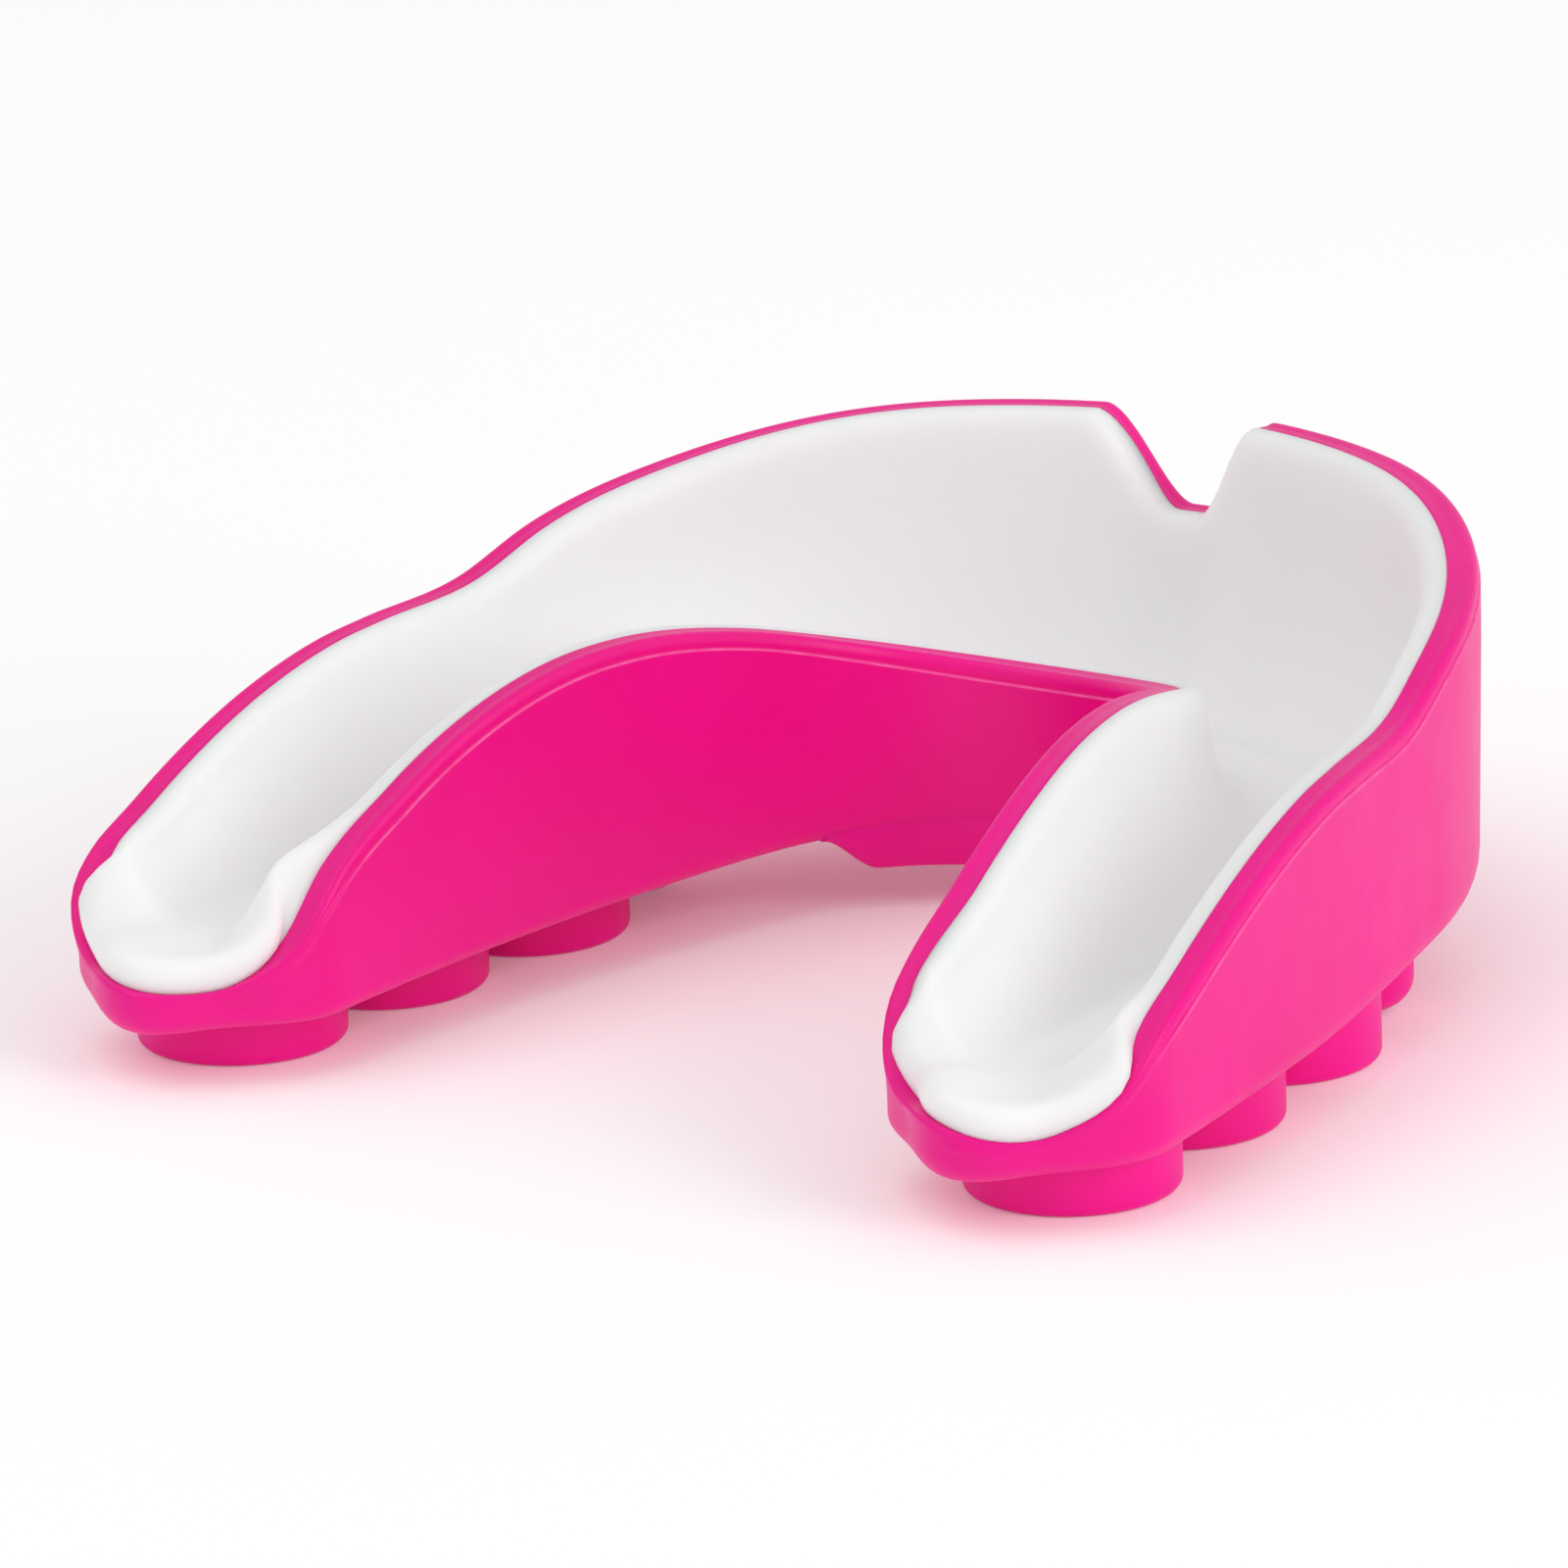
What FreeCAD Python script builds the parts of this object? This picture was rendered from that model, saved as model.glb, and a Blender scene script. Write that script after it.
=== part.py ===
import FreeCAD, Part
import math
import os
import Sketcher
from FreeCAD import Placement, Rotation, Vector

# Boil-and-bite mouthguard for the upper teeth: a rubber shell with a gel liner in its trough and
# round bite pads underneath.  +Z is up, the front teeth face -Y, the open ends of the arch face +Y,
# +X is the wearer's left.  The origin is the middle of the footprint, on the surface it rests on.

SIZES = {
    # arch outline, seen from above
    "arch_length": 60.0,         # front face to the ends of the legs
    "front_radius": 27.0,        # outer face round the front teeth
    "front_sweep": 79.0,         # degrees of that arc on each side of the middle
    "leg_radius": 208.0,         # outer face along each leg
    "band_width": 15.0,          # outer face to tongue-side face, at the middle
    "lingual_tuck": 1.2,         # how much tighter the tongue-side front arc is
    "lingual_leg_tuck": 69.0,    # the same for the leg arcs
    "lingual_sweep_cut": 5.9,    # degrees less sweep on the tongue side
    "end_corner": 6.6,           # plan radius of the leg ends
    # shell
    "wall": 1.5,
    "floor_thickness": 1.6,
    "underside_height": 2.5,     # underside of the shell at the leg ends
    "toe_rise": 1.7,             # degrees the underside climbs towards the front
    "outer_round": 2.4,          # rounding along the outer bottom edge
    "lingual_round": 0.8,        # rounding along the tongue-side bottom edge
    # rim line, heights above the resting surface
    "rim_front": 21.8,
    "rim_canine": 19.0,
    "rim_shelf": 15.8,
    "rim_molar": 14.0,
    "rim_end": 8.2,
    "rim_lingual": 12.0,         # tongue side, at the middle
    "ledge_height": 5.2,         # shell at the leg ends
    # rim line, distances back from the front face
    "front_run": 7.0,
    "canine_run": 17.6,
    "shelf_run": 26.5,
    "shelf_length": 5.5,
    "molar_back": 19.0,          # forward from the leg ends
    "lip_back": 6.6,
    "ledge_back": 5.0,
    # frenum notch
    "notch_width": 9.6,
    "notch_bottom": 17.0,
    "notch_radius": 1.8,
    # liner
    "liner_wall": 1.2,
    "liner_floor": 1.3,
    "liner_end_height": 7.0,
    # bite pads
    "pad_radius": 5.0,
    "pad_gap": 0.3,              # between neighbours
    "pad_margin": 1.7,           # pad edge to the shell's outer face
    "premolar_pad_margin": 1.4,
    "pad_end_margin": 5.4,       # last pad's edge to the leg end
    "pad_round": 0.8,
    "canine_pad_radius": 2.8,
    "canine_pad_margin": 2.6,
    "canine_pad_lift": 0.2,      # clear of the resting surface
    "front_pad_gap": 6.1,        # between its ends and the canine pads
    "front_pad_inset": 0.4,      # back from the tongue-side face
    "front_pad_depth": 7.0,
    "front_pad_lift": 2.0,
}

SHEET = "Sizes"
SIDES = {"left": 1, "right": -1}
PADS = [("pad_radius", "pad_margin"), ("pad_radius", "pad_margin"), ("pad_radius", "premolar_pad_margin"),
        ("canine_pad_radius", "canine_pad_margin")]     # from the leg end forwards
CLEAR = 5.0                      # how far cutting tools run past what they cut
OVERSHOOT = 1.0                  # the same for the notch and the tongue-side cut
NOTCH_WALLS = 3                  # depth of the notch cut, in thicknesses of shell and liner
TOLERANCE = 1e-4                 # for telling whether two places are the same
BISECTIONS = 40                  # halvings when a pad is spaced off its neighbour
SEARCH_SPAN = 4                  # how many spacings along the path the next pad is looked for


def size(name):
    return SIZES[name]


def ref(name):
    return "<<%s>>.%s" % (SHEET, name)


def make_sheet(doc):
    sheet = doc.addObject("Spreadsheet::Sheet", SHEET)
    for row, (name, value) in enumerate(SIZES.items(), start=1):
        sheet.set("A%d" % row, name)
        sheet.set("B%d" % row, str(value))
        sheet.setAlias("B%d" % row, name)
    doc.recompute()
    return sheet


# ---------------------------------------------------------------- arch geometry

class ArchSide:
    """One edge of the band as seen from above: a front arc and a leg arc, tangent to each other."""

    def __init__(self, front_y, front_radius, sweep, leg_radius):
        angle = math.radians(sweep)
        self.front_radius = front_radius
        self.leg_radius = leg_radius
        self.sweep = angle
        self.front_centre = Vector(0, front_y + front_radius, 0)
        self.join = Vector(front_radius * math.sin(angle),
                           self.front_centre.y - front_radius * math.cos(angle), 0)
        self.leg_centre = Vector((front_radius - leg_radius) * math.sin(angle),
                                 self.front_centre.y + (leg_radius - front_radius) * math.cos(angle), 0)

    def point(self, back_from_end, end_y):
        """The point so far along the edge from where it meets the leg end."""
        end_angle = math.asin((end_y - self.leg_centre.y) / self.leg_radius)
        angle = end_angle - back_from_end / self.leg_radius
        join_angle = self.sweep - math.pi / 2
        if angle >= join_angle:
            centre, radius = self.leg_centre, self.leg_radius
        else:
            angle = join_angle - (join_angle - angle) * self.leg_radius / self.front_radius
            centre, radius = self.front_centre, self.front_radius
        return centre + Vector(radius * math.cos(angle), radius * math.sin(angle), 0)


def front_y():
    return -size("arch_length") / 2


def end_y():
    return size("arch_length") / 2


def outer_side(inset=0.0):
    return ArchSide(front_y() + inset, size("front_radius") - inset, size("front_sweep"),
                    size("leg_radius") - inset)


def lingual_side(inset=0.0):
    radius = size("front_radius") - size("band_width") - size("lingual_tuck")
    leg_radius = size("leg_radius") - size("band_width") - size("lingual_leg_tuck")
    return ArchSide(front_y() + size("band_width") - inset, radius + inset,
                    size("front_sweep") - size("lingual_sweep_cut"), leg_radius + inset)


def corner_centre(side, offset, y):
    """Centre of a corner arc that touches a leg arc; offset is signed away from the leg's centre."""
    reach = side.leg_radius + offset
    x = side.leg_centre.x + math.sqrt(reach ** 2 - (y - side.leg_centre.y) ** 2)
    return Vector(x, y, 0)


def flip(point, sign):
    return Vector(point.x * sign, point.y, point.z)


# ---------------------------------------------------------------- sketches

def plane_of(body, role):
    return next(f for f in body.Origin.OriginFeatures if f.Role == role)


def new_sketch(body, name, role):
    sketch = body.newObject("Sketcher::SketchObject", name)
    sketch.AttachmentSupport = [(plane_of(body, role), "")]
    sketch.MapMode = "FlatFace"
    return sketch


def add_arc(sketch, centre, start, end, bulge):
    """Adds the arc from start to end about centre, on the side that bulge points to.

    Returns its index, and the numbers of its vertices at the start and the end."""
    radius = (start - centre).Length
    middle = centre + Vector(bulge).normalize() * radius
    geometry = Part.Arc(start, middle, end)
    index = sketch.addGeometry(geometry, False)
    at_start = (sketch.getPoint(index, 1) - start).Length < TOLERANCE
    return index, (1, 2) if at_start else (2, 1)


def bind(sketch, constraint, name, expression):
    index = sketch.addConstraint(constraint)
    sketch.renameConstraint(index, name)
    sketch.setExpression("Constraints." + name, expression)
    return index


def tangent(sketch, first, first_vertex, second, second_vertex):
    sketch.addConstraint(Sketcher.Constraint("Tangent", first, first_vertex, second, second_vertex))


def arch_edge(sketch, name, side, leg_ends, expressions):
    """Front arc and two leg arcs of one edge of the band; returns the leg arcs by side."""
    centre = side.front_centre
    front, vertices = add_arc(sketch, centre, flip(side.join, -1), side.join, Vector(0, -1, 0))
    at = dict(zip((-1, 1), vertices))
    sketch.addConstraint(Sketcher.Constraint("PointOnObject", front, 3, -2))
    bind(sketch, Sketcher.Constraint("DistanceY", front, 3, -1, 1, -centre.y), name + "_centre",
         expressions["centre"])
    bind(sketch, Sketcher.Constraint("Radius", front, side.front_radius), name + "_radius",
         expressions["radius"])
    legs = {}
    for label, sign in SIDES.items():
        join = flip(side.join, sign)
        middle = (side.join + leg_ends[label]) * 0.5 - side.leg_centre
        leg, ends = add_arc(sketch, flip(side.leg_centre, sign), join, flip(leg_ends[label], sign),
                            flip(middle, sign))
        tangent(sketch, front, at[sign], leg, ends[0])
        pair = (-1, 1, front, at[sign]) if sign > 0 else (front, at[sign], -1, 1)
        bind(sketch, Sketcher.Constraint("DistanceX", *pair, side.join.x), "%s_join_%s" % (name, label),
             expressions["join"])
        bind(sketch, Sketcher.Constraint("Radius", leg, side.leg_radius), "%s_leg_%s" % (name, label),
             expressions["leg_radius"])
        legs[label] = (leg, ends[1])
    return legs


def band_sketch(body, name, inset, inset_sizes):
    """The closed U outline of the band, inset on every side by the sum of the named sizes."""
    sketch = new_sketch(body, name, "XY_Plane")
    outer = outer_side(inset)
    lingual = lingual_side(inset)
    corner = size("end_corner") - inset
    y_end = end_y() - inset
    y_corner = y_end - corner
    outer_corner = corner_centre(outer, -corner, y_corner)
    lingual_corner = corner_centre(lingual, corner, y_corner)
    outer_touch = outer.leg_centre + (outer_corner - outer.leg_centre).normalize() * outer.leg_radius
    lingual_touch = lingual.leg_centre + (lingual_corner - lingual.leg_centre).normalize() * lingual.leg_radius
    shrink = "".join(" - " + ref(s) for s in inset_sizes)
    grow = "".join(" + " + ref(s) for s in inset_sizes)
    front_radius = "(%s%s)" % (ref("front_radius"), shrink)
    lingual_radius = "(%s - %s - %s%s)" % (ref("front_radius"), ref("band_width"), ref("lingual_tuck"), grow)
    outer_legs = arch_edge(sketch, "outer", outer, dict.fromkeys(SIDES, outer_touch), {
        "centre": "%s / 2 - %s" % (ref("arch_length"), ref("front_radius")),
        "radius": front_radius,
        "join": "%s * sin(%s * 1 deg)" % (front_radius, ref("front_sweep")),
        "leg_radius": ref("leg_radius") + shrink,
    })
    lingual_legs = arch_edge(sketch, "lingual", lingual, dict.fromkeys(SIDES, lingual_touch), {
        "centre": "%s / 2 - %s + %s" % (ref("arch_length"), ref("front_radius"), ref("lingual_tuck")),
        "radius": lingual_radius,
        "join": "%s * sin((%s - %s) * 1 deg)" % (lingual_radius, ref("front_sweep"),
                                                 ref("lingual_sweep_cut")),
        "leg_radius": "%s - %s - %s%s" % (ref("leg_radius"), ref("band_width"),
                                          ref("lingual_leg_tuck"), grow),
    })
    for label, sign in SIDES.items():
        outer_end = Vector(outer_corner.x, y_end, 0)
        lingual_end = Vector(lingual_corner.x, y_end, 0)
        first, first_at = add_arc(sketch, flip(outer_corner, sign), flip(outer_touch, sign),
                                  flip(outer_end, sign), Vector(sign, 1, 0))
        second, second_at = add_arc(sketch, flip(lingual_corner, sign), flip(lingual_touch, sign),
                                    flip(lingual_end, sign), Vector(-sign, 1, 0))
        line = sketch.addGeometry(Part.LineSegment(flip(outer_end, sign), flip(lingual_end, sign)), False)
        sketch.addConstraint(Sketcher.Constraint("Horizontal", line))
        tangent(sketch, outer_legs[label][0], outer_legs[label][1], first, first_at[0])
        tangent(sketch, first, first_at[1], line, 1)
        tangent(sketch, line, 2, second, second_at[1])
        tangent(sketch, lingual_legs[label][0], lingual_legs[label][1], second, second_at[0])
        bind(sketch, Sketcher.Constraint("DistanceY", -1, 1, line, 1, y_end), "end_" + label,
             ref("arch_length") + " / 2" + shrink)
        for part, arc in (("outer", first), ("lingual", second)):
            bind(sketch, Sketcher.Constraint("Radius", arc, corner), "%s_corner_%s" % (part, label),
                 ref("end_corner") + shrink)
    return sketch


def band_body(doc, name, inset_sizes=()):
    """A prism of the band outline from the resting plane to the front rim."""
    body = doc.addObject("PartDesign::Body", name)
    inset = sum(size(s) for s in inset_sizes)
    sketch = band_sketch(body, name + "_outline", inset, inset_sizes)
    pad = body.newObject("PartDesign::Pad", name + "_prism")
    pad.Profile = sketch
    pad.setExpression("Length", ref("rim_front"))
    doc.recompute()
    return body


# ---------------------------------------------------------------- cutting tools

def underside_z(y):
    """Height of the shell's sloping underside."""
    return size("underside_height") + (end_y() - y) * math.tan(math.radians(size("toe_rise")))


def below_underside(doc, name, lift_sizes=()):
    """Everything below the sloping underside, raised by the named sizes."""
    wedge = doc.addObject("Part::Wedge", name)
    reach = ref("arch_length")
    lift = "".join(" + " + ref(s) for s in lift_sizes)
    for prop in ("Xmin", "X2min", "Ymin"):
        wedge.setExpression(prop, "-" + reach)
    for prop in ("Xmax", "X2max", "Ymax"):
        wedge.setExpression(prop, reach)
    for prop in ("Zmin", "Z2min"):
        wedge.setExpression(prop, "-" + ref("rim_front"))
    slope = "tan(%s * 1 deg)" % ref("toe_rise")
    for prop, sign in (("Zmax", "+"), ("Z2max", "-")):
        run = "(%s / 2 %s %s)" % (reach, sign, reach)
        wedge.setExpression(prop, "%s + %s * %s%s" % (ref("underside_height"), run, slope, lift))
    doc.recompute()
    return wedge


def boolean(doc, kind, name, base, tool):
    result = doc.addObject("Part::" + kind, name)
    result.Base = base
    result.Tool = tool
    doc.recompute()
    return result


def side_profile_tool(doc, name, curve_points, tail_points, half_width):
    """The solid above a side-view line of (y, z) points: a smooth curve, then straight runs."""
    top = size("rim_front") + CLEAR
    smooth = [Vector(-half_width, y, z) for y, z in curve_points]
    curve = Part.BSplineCurve()
    curve.interpolate(smooth)
    tail = [smooth[-1]] + [Vector(-half_width, y, z) for y, z in tail_points]
    last = tail[-1]
    corners = tail + [Vector(last.x, last.y, top), Vector(smooth[0].x, smooth[0].y, top), smooth[0]]
    edges = [curve.toShape()] + [Part.makeLine(a, b) for a, b in zip(corners, corners[1:])]
    tool = doc.addObject("Part::Feature", name)
    tool.Shape = Part.Face(Part.Wire(edges)).extrude(Vector(2 * half_width, 0, 0))
    return tool


def rim_curve():
    """Side view of the rim, from the front teeth to where the lips stop."""
    front = front_y()
    shelf = front + size("shelf_run")
    return [
        (front - CLEAR, size("rim_front")),
        (front + size("front_run"), size("rim_front")),
        (front + size("canine_run"), size("rim_canine")),
        (shelf, size("rim_shelf")),
        (shelf + size("shelf_length"), size("rim_shelf")),
        (end_y() - size("molar_back"), size("rim_molar")),
        (end_y() - size("lip_back"), size("rim_end")),
    ]


def shell_rim_tool(doc):
    tail = [(end_y() - size("ledge_back"), size("ledge_height")),
            (end_y() + CLEAR, size("ledge_height"))]
    return side_profile_tool(doc, "shell_rim_cut", rim_curve(), tail, size("arch_length"))


def liner_rim_tool(doc):
    tail = [(end_y() - size("wall"), size("liner_end_height")),
            (end_y() + CLEAR, size("liner_end_height"))]
    return side_profile_tool(doc, "liner_rim_cut", rim_curve(), tail, size("arch_length"))


def lingual_rim_tool(doc):
    """Lowers the tongue-side wall round the front of the arch."""
    lingual_front = front_y() + size("band_width")
    shelf = front_y() + size("shelf_run")
    line = [
        (lingual_front - CLEAR, size("rim_lingual")),
        (lingual_front, size("rim_lingual")),
        (shelf, size("rim_shelf")),
    ]
    reach = lingual_side(size("wall") + size("liner_wall")).front_radius + OVERSHOOT
    return side_profile_tool(doc, "lingual_rim_cut", line, [], reach)


def notch_tool(doc):
    """The frenum notch: straight flanks down to a round bottom, through the labial wall only."""
    body = doc.addObject("PartDesign::Body", "frenum_notch_cut")
    sketch = new_sketch(body, "frenum_notch_outline", "XZ_Plane")
    sketch.setExpression("AttachmentOffset.Base.z", "%s / 2 + %s" % (ref("arch_length"), OVERSHOOT))
    radius = size("notch_radius")
    centre = Vector(0, size("notch_bottom") + radius, 0)
    top = size("rim_front") + OVERSHOOT
    shoulder = Vector(size("notch_width") / 2, top, 0)
    reach = (shoulder - centre).Length
    lean = math.atan2(shoulder.y - centre.y, shoulder.x) - math.acos(radius / reach)
    touch = centre + Vector(radius * math.cos(lean), radius * math.sin(lean), 0)
    arc, arc_at = add_arc(sketch, centre, flip(touch, -1), touch, Vector(0, -1, 0))
    right = sketch.addGeometry(Part.LineSegment(touch, shoulder), False)
    lid = sketch.addGeometry(Part.LineSegment(shoulder, flip(shoulder, -1)), False)
    left = sketch.addGeometry(Part.LineSegment(flip(shoulder, -1), flip(touch, -1)), False)
    tangent(sketch, arc, arc_at[1], right, 1)
    tangent(sketch, left, 2, arc, arc_at[0])
    sketch.addConstraint(Sketcher.Constraint("Coincident", right, 2, lid, 1))
    sketch.addConstraint(Sketcher.Constraint("Coincident", lid, 2, left, 1))
    sketch.addConstraint(Sketcher.Constraint("Symmetric", lid, 1, lid, 2, -2))
    bind(sketch, Sketcher.Constraint("DistanceX", lid, 2, lid, 1, size("notch_width")), "width",
         ref("notch_width"))
    bind(sketch, Sketcher.Constraint("DistanceY", -1, 1, lid, 1, top), "top",
         "%s + %s" % (ref("rim_front"), OVERSHOOT))
    sketch.addConstraint(Sketcher.Constraint("PointOnObject", arc, 3, -2))
    bind(sketch, Sketcher.Constraint("DistanceY", -1, 1, arc, 3, centre.y), "bottom",
         "%s + %s" % (ref("notch_bottom"), ref("notch_radius")))
    bind(sketch, Sketcher.Constraint("Radius", arc, radius), "round", ref("notch_radius"))
    pad = body.newObject("PartDesign::Pad", "frenum_notch_prism")
    pad.Profile = sketch
    pad.Reversed = True
    walls = "(%s + %s)" % (ref("wall"), ref("liner_wall"))
    pad.setExpression("Length", "%s + %d * %s" % (OVERSHOOT, NOTCH_WALLS, walls))
    doc.recompute()
    return body


# ---------------------------------------------------------------- sub-parts

def is_lingual(point):
    """Whether a point of the outline is on the tongue side rather than the outer face or leg end."""
    side = outer_side(size("band_width") / 2)
    flat = Vector(abs(point.x), point.y, 0)
    if point.y > end_y() - size("end_corner") / 2:
        return False
    if point.y < side.join.y:
        return (flat - side.front_centre).Length < side.front_radius
    return (flat - side.leg_centre).Length < side.leg_radius


def round_bottom(doc, name, base):
    """Rounds the bottom edges, large outside and small on the tongue side, blending at the ends."""
    shape = base.Shape
    edges = []
    for index, edge in enumerate(shape.Edges, start=1):
        middle = edge.valueAt((edge.FirstParameter + edge.LastParameter) / 2)
        ends = [edge.valueAt(edge.FirstParameter), edge.valueAt(edge.LastParameter)]
        if any(abs(p.z - underside_z(p.y)) > TOLERANCE for p in ends + [middle]):
            continue
        radii = [size("lingual_round" if is_lingual(p) else "outer_round") for p in ends]
        edges.append((index, radii[0], radii[1]))
    fillet = doc.addObject("Part::Fillet", name)
    fillet.Base = base
    fillet.Edges = edges
    doc.recompute()
    return fillet


def make_shell(doc, trough, notch, lingual_rim):
    band = band_body(doc, "shell_band")
    raised = boolean(doc, "Cut", "shell_raised", band, below_underside(doc, "below_shell"))
    rounded = round_bottom(doc, "shell_rounded", raised)
    hollowed = boolean(doc, "Cut", "shell_hollowed", rounded, trough)
    rimmed = boolean(doc, "Cut", "shell_rimmed", hollowed, shell_rim_tool(doc))
    lowered = boolean(doc, "Cut", "shell_lingual_lowered", rimmed, lingual_rim)
    return boolean(doc, "Cut", "outer_shell", lowered, notch)


def make_trough(doc):
    """The cavity of the shell, which the liner fills."""
    insets = ("wall",)
    floor = below_underside(doc, "below_trough", ("floor_thickness",))
    return boolean(doc, "Cut", "trough", band_body(doc, "trough_band", insets), floor)


def make_liner(doc, trough, notch, lingual_rim):
    insets = ("wall", "liner_wall")
    lifts = ("floor_thickness", "liner_floor")
    hollow = boolean(doc, "Cut", "liner_hollow", band_body(doc, "liner_band", insets),
                     below_underside(doc, "below_hollow", lifts))
    hollowed = boolean(doc, "Cut", "liner_hollowed", trough, hollow)
    rimmed = boolean(doc, "Cut", "liner_rimmed", hollowed, liner_rim_tool(doc))
    lowered = boolean(doc, "Cut", "liner_lingual_lowered", rimmed, lingual_rim)
    return boolean(doc, "Cut", "gel_liner", lowered, notch)


def pad_blank(doc, name, centre, radius_name, lift):
    """A round pad standing at its lift, tall enough to run into the shell's floor."""
    body = doc.addObject("PartDesign::Body", name)
    sketch = new_sketch(body, name + "_circle", "XY_Plane")
    index = sketch.addGeometry(Part.Circle(Vector(0, 0, 0), Vector(0, 0, 1), size(radius_name)), False)
    sketch.addConstraint(Sketcher.Constraint("Coincident", index, 3, -1, 1))
    bind(sketch, Sketcher.Constraint("Radius", index, size(radius_name)), "radius", ref(radius_name))
    pad = body.newObject("PartDesign::Pad", name + "_prism")
    pad.Profile = sketch
    pad.Length = underside_z(centre.y) + size("floor_thickness") / 2 - lift
    doc.recompute()
    low = [index for index, edge in enumerate(pad.Shape.Edges, start=1)
           if abs(edge.BoundBox.ZMax) < TOLERANCE]
    fillet = body.newObject("PartDesign::Fillet", name + "_round")
    fillet.Base = (pad, ["Edge%d" % index for index in low])
    fillet.setExpression("Radius", ref("pad_round"))
    body.Placement = Placement(Vector(centre.x, centre.y, lift), Rotation())
    doc.recompute()
    return body


def next_back(path, back, neighbour, spacing):
    """How far from the leg end a path's point is the given straight distance from a neighbour."""
    low, high = back, back + SEARCH_SPAN * spacing
    for _ in range(BISECTIONS):
        middle = (low + high) / 2
        if (path.point(middle, end_y()) - neighbour).Length < spacing:
            low = middle
        else:
            high = middle
    return high


def pad_layout():
    """Centre, radius name and lift of each pad under the left leg, from the leg end forwards."""
    layout = []
    back = size("pad_end_margin") + size("pad_radius")
    for radius_name, margin_name in PADS:
        radius = size(radius_name)
        path = outer_side(radius + size(margin_name))
        if layout:
            spacing = size(layout[-1][1]) + size("pad_gap") + radius
            back = next_back(path, back, layout[-1][0], spacing)
        lift = 0.0 if radius_name == "pad_radius" else size("canine_pad_lift")
        layout.append((path.point(back, end_y()), radius_name, lift))
    return layout


def make_pads(doc, shell):
    pads = []
    for label, sign in SIDES.items():
        for number, (centre, radius_name, lift) in enumerate(pad_layout(), start=1):
            name = "bite_pad_%s_%d" % (label, number)
            blank = pad_blank(doc, name + "_blank", flip(centre, sign), radius_name, lift)
            pads.append(boolean(doc, "Cut", name, blank, shell))
    return pads


def front_pad_sweep():
    """Half angle of the front pad, whose ends keep clear of the canine pads."""
    arm = pad_layout()[-1][0] - lingual_side().front_centre
    clear = size("canine_pad_radius") + size("front_pad_gap")
    return math.atan2(arm.x, -arm.y) - math.asin(clear / arm.Length)


def make_front_pad(doc, shell):
    """A wide pad under the front teeth, just behind the tongue-side face."""
    body = doc.addObject("PartDesign::Body", "front_bite_pad_blank")
    sketch = new_sketch(body, "front_bite_pad_outline", "XY_Plane")
    sketch.setExpression("AttachmentOffset.Base.z", ref("front_pad_lift"))
    side = lingual_side()
    sweep = front_pad_sweep()
    centre = side.front_centre
    inner = side.front_radius + size("front_pad_inset")
    outer = inner + size("front_pad_depth")
    direction = Vector(math.sin(sweep), -math.cos(sweep), 0)
    ahead = Vector(0, -1, 0)
    near, near_at = add_arc(sketch, centre, centre + flip(direction, -1) * inner,
                            centre + direction * inner, ahead)
    far, far_at = add_arc(sketch, centre, centre + flip(direction, -1) * outer,
                          centre + direction * outer, ahead)
    ends = []
    for sign, vertex in ((-1, 0), (1, 1)):
        line = sketch.addGeometry(Part.LineSegment(centre + flip(direction, sign) * inner,
                                                   centre + flip(direction, sign) * outer), False)
        sketch.addConstraint(Sketcher.Constraint("Coincident", line, 1, near, near_at[vertex]))
        sketch.addConstraint(Sketcher.Constraint("Coincident", line, 2, far, far_at[vertex]))
        ends.append(line)
    sketch.addConstraint(Sketcher.Constraint("PointOnObject", near, 3, -2))
    sketch.addConstraint(Sketcher.Constraint("Coincident", near, 3, far, 3))
    radius = "(%s - %s - %s + %s)" % (ref("front_radius"), ref("band_width"), ref("lingual_tuck"),
                                      ref("front_pad_inset"))
    bind(sketch, Sketcher.Constraint("DistanceY", near, 3, -1, 1, -centre.y), "centre",
         "%s / 2 - %s + %s" % (ref("arch_length"), ref("front_radius"), ref("lingual_tuck")))
    bind(sketch, Sketcher.Constraint("Radius", near, inner), "inner", radius)
    bind(sketch, Sketcher.Constraint("Radius", far, outer), "outer",
         "%s + %s" % (radius, ref("front_pad_depth")))
    for label, line, vertex in (("right", ends[0], 0), ("left", ends[1], 1)):
        sketch.addConstraint(Sketcher.Constraint("PointOnObject", near, 3, line))
        pair = (near, near_at[vertex], -1, 1) if vertex == 0 else (-1, 1, near, near_at[vertex])
        bind(sketch, Sketcher.Constraint("DistanceX", *pair, inner * math.sin(sweep)), "reach_" + label,
             "%s * %.9f" % (radius, math.sin(sweep)))
    pad = body.newObject("PartDesign::Pad", "front_bite_pad_prism")
    pad.Profile = sketch
    pad.Length = underside_z(front_y() + size("band_width")) + size("floor_thickness") / 2 \
        - size("front_pad_lift")
    doc.recompute()
    return boolean(doc, "Cut", "front_bite_pad", body, shell)


# ---------------------------------------------------------------- document

def check(doc, pieces):
    """Stops the build if any object failed or a piece isn't one sound solid."""
    for obj in doc.Objects:
        if "Invalid" in obj.State or "Error" in obj.State:
            raise RuntimeError("failed object: %s %s" % (obj.Name, obj.State))
    for piece in pieces:
        shape = piece.Shape
        if shape.isNull() or not shape.isValid() or len(shape.Solids) != 1:
            raise RuntimeError("bad shape: %s" % piece.Label)


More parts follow.
